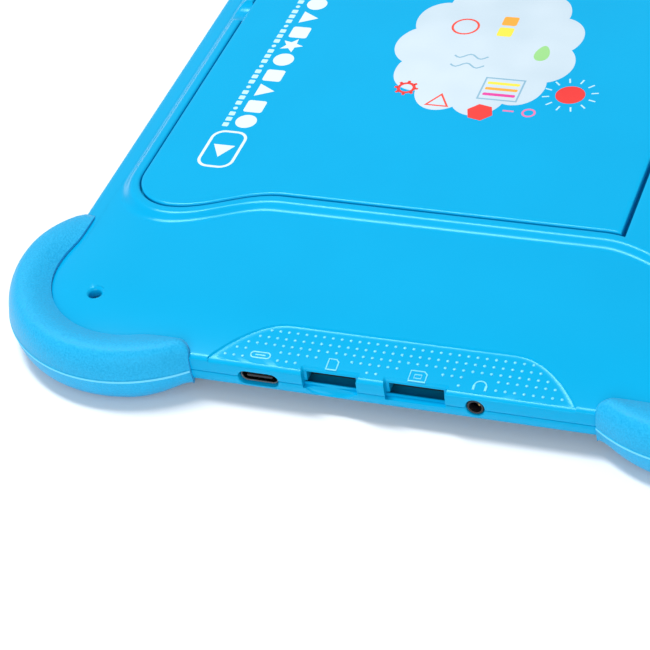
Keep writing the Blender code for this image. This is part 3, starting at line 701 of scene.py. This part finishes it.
def bumper_section(turn, along, openness, on_long_side, sx, sy):
    """The bumper's section at a spot of its path; openness closes it at the rounded ends."""
    fall = (BUMPER_LONG_FALL if on_long_side else BUMPER_FALL) * (along / BUMPER_END) ** 2
    lift = BUMPER_LOW_END * (max(along - BUMPER_FOOT, 0.0) / (BUMPER_END - BUMPER_FOOT)) ** 1.5
    outer = math.sqrt(BUMPER_R ** 2 - along ** 2) - BEAD_HEIGHT
    round_lip, straight_lip = math.sqrt(BUMPER_IN_R ** 2 - along ** 2), CORNER_R - 4.4
    lip = (round_lip + straight_lip) / 2 + math.hypot((round_lip - straight_lip) / 2, 0.35)
    lip += (outer - 1.0 - lip) * (1 - openness)
    close_z = BUMPER_LONG_END_Z if on_long_side else BUMPER_END_Z
    top = close_z + (BUMPER_TOP - fall - close_z) * openness - Z_PART
    low = Z_PART - lift
    width = outer - lip
    roll = min(BUMPER_ROLL, width * 0.6)
    shape = []
    for rise, reach in ((1, top), (-1, low)):
        # The top swells from a low step at its inner lip; the underside is flat with an eased edge.
        if rise > 0:
            lip_z = min(crown(CORNER_R - lip) + LIP_STEP - Z_PART, reach - 0.05)
            inner = (width - roll) * 0.9
        else:
            lip_z = reach - BUMPER_FOOT_R
            inner = min(2.4, width * 0.3)
        outline = [(lip, lip_z - 0.9)]
        for k in range(10):
            bend = math.radians(10 * k)
            if rise > 0:
                outline.append((lip + inner * k / 9, lip_z + (reach - lip_z) * math.sin(bend)))
            else:
                outline.append((lip + inner * (1 - math.cos(bend)),
                                reach - BUMPER_FOOT_R * (1 - math.sin(bend))))
        for k in range(1, 10):
            bend = math.radians(90 - 10 * k)
            outline.append((outer - roll + roll * math.cos(bend), reach * math.sin(bend)))
        # The mould line: a fine raised bead where the two halves meet.
        outline += [(outer, 0.42), (outer + 0.15, 0.28), (outer + BEAD_HEIGHT, 0.1)]
        if rise < 0:
            outline = outline[::-1]
        shape += [(u, Z_PART + rise * z) for u, z in outline]
    ring = []
    for u, z in shape:
        swing = math.radians(45 - turn)
        p = u * math.cos(swing) + along * math.sin(swing)
        q = u * math.sin(swing) - along * math.cos(swing)
        x, y = (q, p) if on_long_side else (p, q)
        ring.append((sx * (HX - CORNER_R + x), sy * (HY - CORNER_R + y), z))
    return ring


def make_bumper(place, sx, sy):
    path = bumper_path()
    rings = [bumper_section(*spot, True, sx, sy) for spot in reversed(path[1:])]
    rings += [bumper_section(*spot, False, sx, sy) for spot in path]
    made = loft("bumper_" + place, rings, bumper_blue, angle=50)
    # The bead's faces take the lighter bead colour: a painted highlight along the mould line.
    made.data.materials.append(bead_painted_highlight)
    count = len(rings[0])
    for face in made.data.polygons:
        spots = sorted(v % count for v in face.vertices)
        if len(spots) == 4 and spots[0] >= BEAD_FROM and spots[-1] <= BEAD_TO:
            face.material_index = 1
    inner = [three_d(body_outline(1.3), Z_FRONT - 0.05), three_d(body_outline(0.2), 4.6),
             three_d(body_outline(-0.04), 6.2)]
    inner += [three_d(outline, z) for outline, z in wall_rings(lift=0.04, grow=0.04)]
    inner.append(three_d(body_outline(22.0), crown(22.0)))
    boolean(made, [loft("cut_body", inner)], angle=50)
    return put(made, "tablet", "corner_bumper_" + place, slot="bumper_blue")


# ---- grip dots and port signs

def dome(work, x, y, z, radius, height, sides=10):
    """A low dome standing on the surface."""
    rows = []
    for part, level in ((1.0, -0.05), (0.92, 0.45), (0.6, 0.85)):
        rows.append([work.verts.new(((x + radius * part * math.cos(TAU * i / sides)) * MM,
                                     (y + radius * part * math.sin(TAU * i / sides)) * MM,
                                     (z + height * level) * MM)) for i in range(sides)])
    top = work.verts.new((x * MM, y * MM, (z + height) * MM))
    for low, high in zip(rows, rows[1:]):
        for i in range(sides):
            j = (i + 1) % sides
            work.faces.new((low[i], low[j], high[j], high[i]))
    for i in range(sides):
        work.faces.new((rows[-1][i], rows[-1][(i + 1) % sides], top))
    work.faces.new(rows[0][::-1])


def strip(points, width, closed=False):
    """Pairs of points on the left and right edges of a band along a path in plan."""
    edges = []
    count = len(points)
    for i, (x, y) in enumerate(points):
        before = points[(i - 1) % count] if closed or i else points[0]
        after = points[(i + 1) % count] if closed or i < count - 1 else points[-1]
        dx, dy = after[0] - before[0], after[1] - before[1]
        size = math.hypot(dx, dy) or 1.0
        nx, ny = -dy / size * width / 2, dx / size * width / 2
        edges.append(((x + nx, y + ny), (x - nx, y - ny)))
    return edges


def band(work, points, width, z_at, closed=False, height=0.12):
    """A raised line with a flat top, standing on the surface given by z_at."""
    sections = []
    for (ax, ay), (bx, by) in strip(points, width, closed):
        za, zb = z_at(ax, ay), z_at(bx, by)
        corners = ((ax, ay, za - 0.05), (ax, ay, za + height), (bx, by, zb + height), (bx, by, zb - 0.05))
        sections.append([work.verts.new((x * MM, y * MM, z * MM)) for x, y, z in corners])
    pairs = list(zip(sections, sections[1:]))
    if closed:
        pairs.append((sections[-1], sections[0]))
    for low, high in pairs:
        for i in range(4):
            j = (i + 1) % 4
            work.faces.new((low[i], low[j], high[j], high[i]))
    if not closed:
        work.faces.new(sections[0][::-1])
        work.faces.new(sections[-1])


def from_bmesh(name, work, finish, shade=True):
    bmesh.ops.recalc_face_normals(work, faces=work.faces)
    mesh = bpy.data.meshes.new(name)
    work.to_mesh(mesh)
    work.free()
    mesh.materials.append(finish)
    made = linked(name, mesh)
    if shade:
        smooth(made, 40)
    return made


def grip_z(x, y):
    return crown_at(x, y) - GRIP_SINK


PITCH, DOT_R, DOT_HEIGHT = 2.1, 0.37, 0.2
DOT_ROWS = (120.5, 122.6, 124.6, 126.5, 128.8)
SIGN_X, SIGN_LINE, SIGN_CLEAR = 128.0, 0.28, 3.4
SIGN_ROWS_FROM, NOTCH_ROW = 3, 4        # dot rows broken by the signs, and by the card notches


def dot_has_room(row, y):
    by_sign = any(abs(y - at) < SIGN_CLEAR for at in (USB_Y, CARD_Y, SIM_Y, JACK_Y + 0.6))
    in_notch = any(abs(y - at) < width / 2 + 1.4 for at, width in ((CARD_Y, CARD_W), (SIM_Y, SIM_W)))
    return not (row >= SIGN_ROWS_FROM and by_sign or row == NOTCH_ROW and in_notch)


def card_outline(y, back, half, cut):
    """A card with one cut corner."""
    return [(SIGN_X - back, y - half), (SIGN_X - back, y + half - cut), (SIGN_X - back + cut, y + half),
            (SIGN_X + 1.3, y + half), (SIGN_X + 1.3, y - half)]


def make_grip_details():
    work = bmesh.new()
    for row, x in enumerate(DOT_ROWS):
        part = math.asin(min(((HX - x) / GRIP_DEPTH) ** (1 / GRIP_POWER), 1.0)) / (math.pi / 2)
        half = GRIP_HALF - (GRIP_HALF - GRIP_FLAT) * part - 1.6
        count = int(half / PITCH + 0.5)
        for k in range(-count, count):
            y = PITCH * (k + 0.5)
            if abs(y) <= half + 0.6 and dot_has_room(row, y):
                dome(work, x, y, grip_z(x, y), DOT_R, DOT_HEIGHT)
    # The dots are painted lighter than the shell around them: a painted highlight.
    put(from_bmesh("grip_dots", work, raised_marks_painted_highlight), "tablet", slot="shell_blue")

    work = bmesh.new()
    # Charging socket: a small capsule with a bar in it.
    turns = [TAU * i / 24 for i in range(24)]
    capsule = [(SIGN_X + 0.8 * math.cos(t), USB_Y + (1.5 if math.sin(t) > 0 else -1.5) + 0.8 * math.sin(t))
               for t in turns]
    band(work, capsule, SIGN_LINE, grip_z, closed=True)
    band(work, [(SIGN_X, USB_Y - 1.2), (SIGN_X, USB_Y + 1.2)], SIGN_LINE, grip_z)
    # Memory card, and phone card with a chip.
    band(work, card_outline(CARD_Y, 1.6, 1.2, 0.7), SIGN_LINE, grip_z, closed=True)
    band(work, card_outline(SIM_Y, 1.5, 1.9, 0.7), SIGN_LINE, grip_z, closed=True)
    chip = [(SIGN_X - 0.5, SIM_Y - 0.8), (SIGN_X - 0.5, SIM_Y + 0.8), (SIGN_X + 0.5, SIM_Y + 0.8),
            (SIGN_X + 0.5, SIM_Y - 0.8)]
    band(work, chip, 0.24, grip_z, closed=True)
    # Headphones: an arc with two pads.
    y = JACK_Y + 0.6
    turns = [math.pi * i / 14 for i in range(15)]
    bow = [(SIGN_X + 0.4 - 1.5 * math.sin(t), y + 1.4 * math.cos(t)) for t in turns]
    band(work, bow, 0.26, grip_z)
    for side in (1, -1):
        band(work, [(SIGN_X + 0.1, y + 1.35 * side), (SIGN_X + 1.4, y + 1.35 * side)], 0.5, grip_z)
    # The signs are painted lighter than the shell too: a painted highlight.
    put(from_bmesh("port_signs", work, raised_marks_painted_highlight), "tablet", slot="shell_blue")


# ---- prints on the flap

PRINT_Z, PRINT_LAYER = FLAP_TOP + 0.012, 0.006
ROW_Y, SMALL_ROW_Y = -63.8, -68.6
CLOUD_AT, CLOUD_HALF, PUFF, PUFFS = (7.5, -12.5), (26.5, 21.5), 0.13, 5.5
GEAR, SUN, LOOP_X = (28, -28), (24.6, 13.6), 33.6


def sheet_of(name, outlines, finish, level=0):
    """Flat printed shapes on the flap, each a closed outline in plan."""
    work = bmesh.new()
    z = PRINT_Z + PRINT_LAYER * level
    for outline in outlines:
        low = [work.verts.new((x * MM, y * MM, (FLAP_TOP - 0.02) * MM)) for x, y in outline]
        high = [work.verts.new((x * MM, y * MM, z * MM)) for x, y in outline]
        work.faces.new(high)
        work.faces.new(low[::-1])
        for i in range(len(outline)):
            j = (i + 1) % len(outline)
            work.faces.new((low[i], low[j], high[j], high[i]))
    bmesh.ops.triangulate(work, faces=[f for f in work.faces if len(f.verts) > 4])
    return put(from_bmesh(name, work, finish, shade=False), "kickstand", slot="flap_blue")


def ring_of(name, paths, width, finish, level=0):
    """Printed lines: (points, closed) in plan."""
    work = bmesh.new()
    z = PRINT_Z + PRINT_LAYER * level
    for points, closed in paths:
        band(work, points, width, lambda x, y: FLAP_TOP, closed=closed, height=z - FLAP_TOP)
    return put(from_bmesh(name, work, finish, shade=False), "kickstand", slot="flap_blue")


def polygon(x, y, r, sides, turn=0.0):
    turns = [TAU * i / sides + turn for i in range(sides)]
    return [(x + r * math.cos(t), y + r * math.sin(t)) for t in turns]


def circle(x, y, r, steps=40):
    return polygon(x, y, r, steps)


def star(x, y, r, points, turn):
    spots = [(r * (0.45 if i % 2 else 1), math.pi * i / points + turn) for i in range(2 * points)]
    return [(x + reach * math.cos(t), y + reach * math.sin(t)) for reach, t in spots]


def cloud():
    """A puffy cloud: an ellipse with a scalloped edge."""
    outline = []
    for i in range(264):
        turn = TAU * i / 264
        puff = 1 + PUFF * abs(math.sin(PUFFS * turn + 0.4)) ** 0.8
        outline.append((CLOUD_AT[0] + CLOUD_HALF[0] * puff * math.cos(turn),
                        CLOUD_AT[1] + CLOUD_HALF[1] * puff * math.sin(turn)))
    return outline


def building_block(kind, x):
    """One shape of the printed row, centred at x."""
    if kind == "disc":
        return circle(x, ROW_Y, 2.75)
    if kind == "tile":
        return rounded_rect(x - 2.5, x + 2.5, ROW_Y - 2.5, ROW_Y + 2.5, 0.7)
    if kind == "star":
        return star(x, ROW_Y - 0.2, 3.2, 5, math.pi / 2)
    return polygon(x, ROW_Y - 0.5, 3.1, 3, math.pi / 2)


def gear_tooth(turn):
    """One tooth of the gear, a little wider at its root."""
    x, y = math.cos(turn), math.sin(turn)
    return [(GEAR[0] + a * x - b * y, GEAR[1] + a * y + b * x)
            for a, b in ((2.3, -0.45), (3.1, -0.35), (3.1, 0.35), (2.3, 0.45))]


def make_row_prints():
    """A rounded box with a play sign, a row of building blocks beside it and a finer row below."""
    ring_of("print_box", [(rounded_rect(53.2, 67.6, -70.0, -61.2, 3.0, 10), True)], 0.75, white_ink)
    sheet_of("print_play", [polygon(60.4, -65.6, 3.3, 3)], white_ink)
    row = (("disc", 48.4), ("tile", 41.9), ("triangle", 34.8), ("tile", 28.1), ("disc", 20.8), ("star", 14.2),
           ("tile", 8.1), ("triangle", 1.0), ("disc", -5.6), ("tile", -11.9), ("triangle", -19.4),
           ("disc", -26.0))
    sheet_of("print_blocks", [building_block(kind, x) for kind, x in row], white_ink)
    small = []
    for k in range(34):
        x = 50.4 - 2.35 * k
        if k % 4 == 3:
            small.append(circle(x, SMALL_ROW_Y, 0.6, 16))
        else:
            small.append(rounded_rect(x - 0.8, x + 0.8, SMALL_ROW_Y - 0.8, SMALL_ROW_Y + 0.8, 0.25, 3))
    sheet_of("print_small_row", small, pale_ink)


def make_cloud_prints():
    """The picture: a cloud with plain toys round its lower edge."""
    sheet_of("print_cloud", [cloud()], cloud_ink)
    ring_of("print_gear_ring", [(circle(*GEAR, 2.0, 32), True)], 0.8, red_ink, 1)
    sheet_of("print_gear_teeth", [gear_tooth(TAU * k / 8) for k in range(8)], red_ink, 1)
    ring_of("print_triangle", [(polygon(32.5, -18.2, 3.2, 3, math.pi), True)], 1.0, coral_ink, 1)
    sheet_of("print_hexagon", [polygon(35.2, -6.6, 3.5, 6, 0.3)], red_ink, 1)
    ring_of("print_rack", [([(20.5, -9.0), (29.5, -9.0), (29.5, 1.0), (20.5, 1.0)], True)], 0.7, slate_ink, 1)
    for name, x, finish in (("a", 22.6, yellow_ink), ("b", 25.0, orange_ink), ("c", 27.4, magenta_ink)):
        sheet_of("print_bar_" + name, [rounded_rect(x - 0.55, x + 0.55, -8.2, 0.2, 0.4, 4)], finish, 1)
    ring_of("print_loops", [(circle(LOOP_X, 5.4, 1.5, 24), True), ([(LOOP_X, 1.6), (LOOP_X, -1.2)], False)],
            0.55, pink_ink, 1)
    sheet_of("print_sun", [circle(*SUN, 3.7)], red_ink, 1)
    rays = []
    for k in range(12):
        t = TAU * (k + 0.5) / 12
        rays.append(([(SUN[0] + r * math.cos(t), SUN[1] + r * math.sin(t)) for r in (5.2, 7.0)], False))
    ring_of("print_rays", rays, 0.42, pale_ink, 1)
    waves = [([(x + 0.9 * math.sin(k * 0.9), -20 + 0.8 * k) for k in range(12)], False) for x in (12, 16)]
    ring_of("print_waves", waves, 0.5, slate_ink, 1)
    turns = [TAU * k / 30 for k in range(30)]
    leaf = [(8 + 3.4 * math.cos(t), 2 + 1.9 * math.sin(t) * (1 + 0.25 * math.cos(t))) for t in turns]
    sheet_of("print_leaf", [leaf], green_ink, 1)
    sheet_of("print_tiles", [rounded_rect(-2, 2, -12, -8, 0.6)], yellow_ink, 1)
    sheet_of("print_tiles_2", [rounded_rect(-7, -3, -12, -8, 0.6)], orange_ink, 1)
    ring_of("print_orbit", [(circle(-1, -21, 3.4, 36), True)], 0.6, coral_ink, 1)


# ---- keys and sockets

def key(body, x, half, y_in, node):
    """A side key: rounded ends and a softly domed outer face."""
    rings = []
    y_out = HY + KEY_PROUD
    for y, less in ((y_in, 0.0), (y_out - 0.5, 0.0), (y_out - 0.22, 0.06), (y_out - 0.06, 0.22),
                    (y_out, 0.5)):
        rings.append([(a, y, b) for a, b in rounded_rect(
            x - half + less, x + half - less, KEY_Z - KEY_HALF_Z + less, KEY_Z + KEY_HALF_Z - less,
            0.95 - less * 0.9, 8)])
    put(loft(body, rings, shell_blue, angle=50), body, node, slot="shell_blue")


def small_block(work, x, y, z, sx, sy, sz):
    """Add a block to a mesh in the making: its centre and its sizes."""
    place = Matrix.Translation((x * MM, y * MM, z * MM))
    bmesh.ops.create_cube(work, size=1.0, matrix=place @ Matrix.Diagonal((sx * MM, sy * MM, sz * MM, 1.0)))


def make_keys():
    key("power_key", POWER_X, POWER_HALF, POWER_BACK, "power_button")
    key("volume_key", VOLUME_X, VOLUME_HALF, VOLUME_BACK, "volume_rocker")
    # A plus and a minus, raised a little from the rocker's face.
    long, thin, upright, height, y = 1.6, 0.28, 1.2, 0.07, HY + KEY_PROUD - 0.04
    work = bmesh.new()
    small_block(work, VOLUME_X + 7.5, y, KEY_Z, long, height, thin)
    small_block(work, VOLUME_X + 7.5, y, KEY_Z, thin, height, upright)
    small_block(work, VOLUME_X - 7.5, y, KEY_Z, long, height, thin)
    # The marks are painted lighter than the key: a painted highlight.
    put(from_bmesh("volume_marks", work, raised_marks_painted_highlight, shade=False), "volume_key", slot="shell_blue")


def usb_ring(x, width, height, steps=12):
    return [(x, a, b) for a, b in slot_outline(USB_Y, USB_Z, width, height, steps)]


def make_sockets():
    # The charging socket's steel tube, out along its outside and back in along its mouth. Its steel is
    # painted dark, as painted shade inside the opening.
    tube = ((123.6, 9.0, 3.1), (HX - 1.25, 9.0, 3.1), (HX - 1.1, 8.84, 2.94), (HX - 1.12, 8.6, 2.7),
            (HX - 1.25, 8.4, 2.5), (124.4, 8.4, 2.5))
    put(loft("charging_socket", [usb_ring(*spot) for spot in tube], socket_steel_painted_shade), "tablet", "usb_c_shell",
        slot="steel")
    tongue = ((124.8, 6.4, 0.7), (HX - 1.5, 6.4, 0.7), (HX - 1.2, 6.1, 0.55))
    put(loft("socket_tongue", [usb_ring(*spot, 5) for spot in tongue], black), "tablet", "usb_c_tongue",
        slot="black_plastic")
    work = bmesh.new()
    for k in range(12):
        small_block(work, 129.0, USB_Y - 2.75 + 0.5 * k, USB_Z + 0.36, 2.2, 0.25, 0.05)
    put(from_bmesh("socket_contacts", work, gold, shade=False), "tablet", slot="steel")
    # The jack's ring takes the same darkened steel: painted shade inside the hole.
    ring = turned("jack_ring", 0, (JACK_Y, JACK_Z), (
        (HX - 2.2, 1.82), (HX - 0.55, 1.82), (HX - 0.42, 1.74), (HX - 0.40, 1.62), (HX - 0.5, 1.48),
        (HX - 2.2, 1.46)), 40, socket_steel_painted_shade)
    put(ring, "tablet", slot="steel")
    spring = turned("jack_contact", 0, (JACK_Y + 0.5, JACK_Z - 0.55), (
        (HX - 2.9, 0.05), (HX - 2.7, 0.42), (HX - 2.3, 0.58), (HX - 1.9, 0.42), (HX - 1.7, 0.05)), 20, gold)
    put(spring, "tablet", slot="steel")


def make_screws():
    for place, (x, y) in screw_places():
        head = turned("screw_" + place, 2, (x, y), (
            (5.8, 0.78), (8.9, 0.78), (8.901, 1.5), (9.9, 1.5), (10.2, 1.3), (10.3, 0.9)), 32, steel)
        cross = [block("cut_cross", x - a, x + a, y - b, y + b, 9.6, 10.6)
                 for a, b in ((0.85, 0.16), (0.16, 0.85))]
        boolean(head, cross)
        put(head, "tablet", "case_screw_" + place, slot="steel")


def make_camera_window():
    window = turned("camera_cover", 2, CAMERA_AT, ((11.5, 4.0), (12.1, 4.0), (12.25, 3.9), (12.3, 3.7)), 48,
                    lens)
    put(window, "tablet", "rear_camera_window", slot="lens")
    ring = turned("camera_ring", 2, CAMERA_AT, (
        (12.25, 4.22), (12.55, 4.22), (12.62, 4.1), (12.58, 3.85), (12.3, 3.75)), 48, steel)
    put(ring, "tablet", slot="steel")


make_rear_shell()
make_front_frame()
make_flap()
for place, (sx, sy) in CORNERS.items():
    make_bumper(place, sx, sy)
make_grip_details()
make_row_prints()
make_cloud_prints()
make_keys()
make_sockets()
make_screws()
make_camera_window()


# ---- floor, light and camera

FLOOR_HALF, FLOOR_GAP = 4.0, 0.0002     # metres


def make_stage():
    mesh = bpy.data.meshes.new("floor")
    corners = [(FLOOR_HALF * x, FLOOR_HALF * y, 0) for x, y in ((-1, -1), (1, -1), (1, 1), (-1, 1))]
    mesh.from_pydata(corners, [], [(0, 1, 2, 3)])
    made, tree, shader = nodes_of("pale_floor")
    cloudy = noise(tree, 3.0, 2.0)
    tree.links.new(two_tone(tree, cloudy.outputs["Fac"], (0.86, 0.87, 0.88), (0.89, 0.90, 0.91)),
                   shader.inputs["Base Color"])
    shader.inputs["Roughness"].default_value = 0.8
    shader.inputs["Specular IOR Level"].default_value = 0.1
    mesh.materials.append(made)
    floor = linked("floor", mesh)
    floor.location.z = -FLOOR_GAP


def area_light(name, place, target, size, power):
    """A soft rectangular light aimed at target, in metres and watts."""
    data = bpy.data.lights.new(name, "AREA")
    data.shape = "RECTANGLE"
    data.size, data.size_y = size
    data.energy = power
    made = linked(name, data)
    made.location = place
    made.rotation_euler = (Vector(target) - Vector(place)).to_track_quat("-Z", "Y").to_euler()


def make_light():
    bpy.context.scene.view_settings.view_transform = "Standard"
    world = bpy.data.worlds.new("studio")
    bpy.context.scene.world = world
    world.use_nodes = True
    back = world.node_tree.nodes["Background"]
    back.inputs["Color"].default_value = (0.95, 0.98, 1.0, 1.0)
    back.inputs["Strength"].default_value = 0.42
    # The strip makes the bright lines on the slopes and edges, the other two fill.
    area_light("strip", (-0.10, -0.40, 1.13), (0.06, 0, 0), size=(0.20, 0.55), power=11.5)
    area_light("over", (0.10, 0.05, 1.3), (0.06, 0, 0), size=(1.2, 1.2), power=0.7)
    area_light("port_side", (1.2, 0.1, 0.50), (0.05, 0, 0), size=(1.0, 0.6), power=7.2)


# The photo's camera: lens and sensor in millimetres, place in metres.
LENS, SENSOR = 127.38, 36.0
VIEW_FROM, VIEW_FORWARD = (0.474511, 0.150307, 0.342781), (-0.69393, -0.32850, -0.64074)
VIEW_RIGHT = (-0.32790, 0.93641, -0.12496)


def make_camera():
    data = bpy.data.cameras.new("view")
    data.lens = LENS
    data.sensor_width = SENSOR
    made = linked("view", data)
    forward = Vector(VIEW_FORWARD).normalized()
    right = Vector(VIEW_RIGHT).normalized()
    up = right.cross(forward)
    aim = Matrix((right, up, -forward)).transposed().to_4x4()
    made.matrix_world = Matrix.Translation(VIEW_FROM) @ aim
    bpy.context.scene.camera = made


make_stage()
make_light()
make_camera()
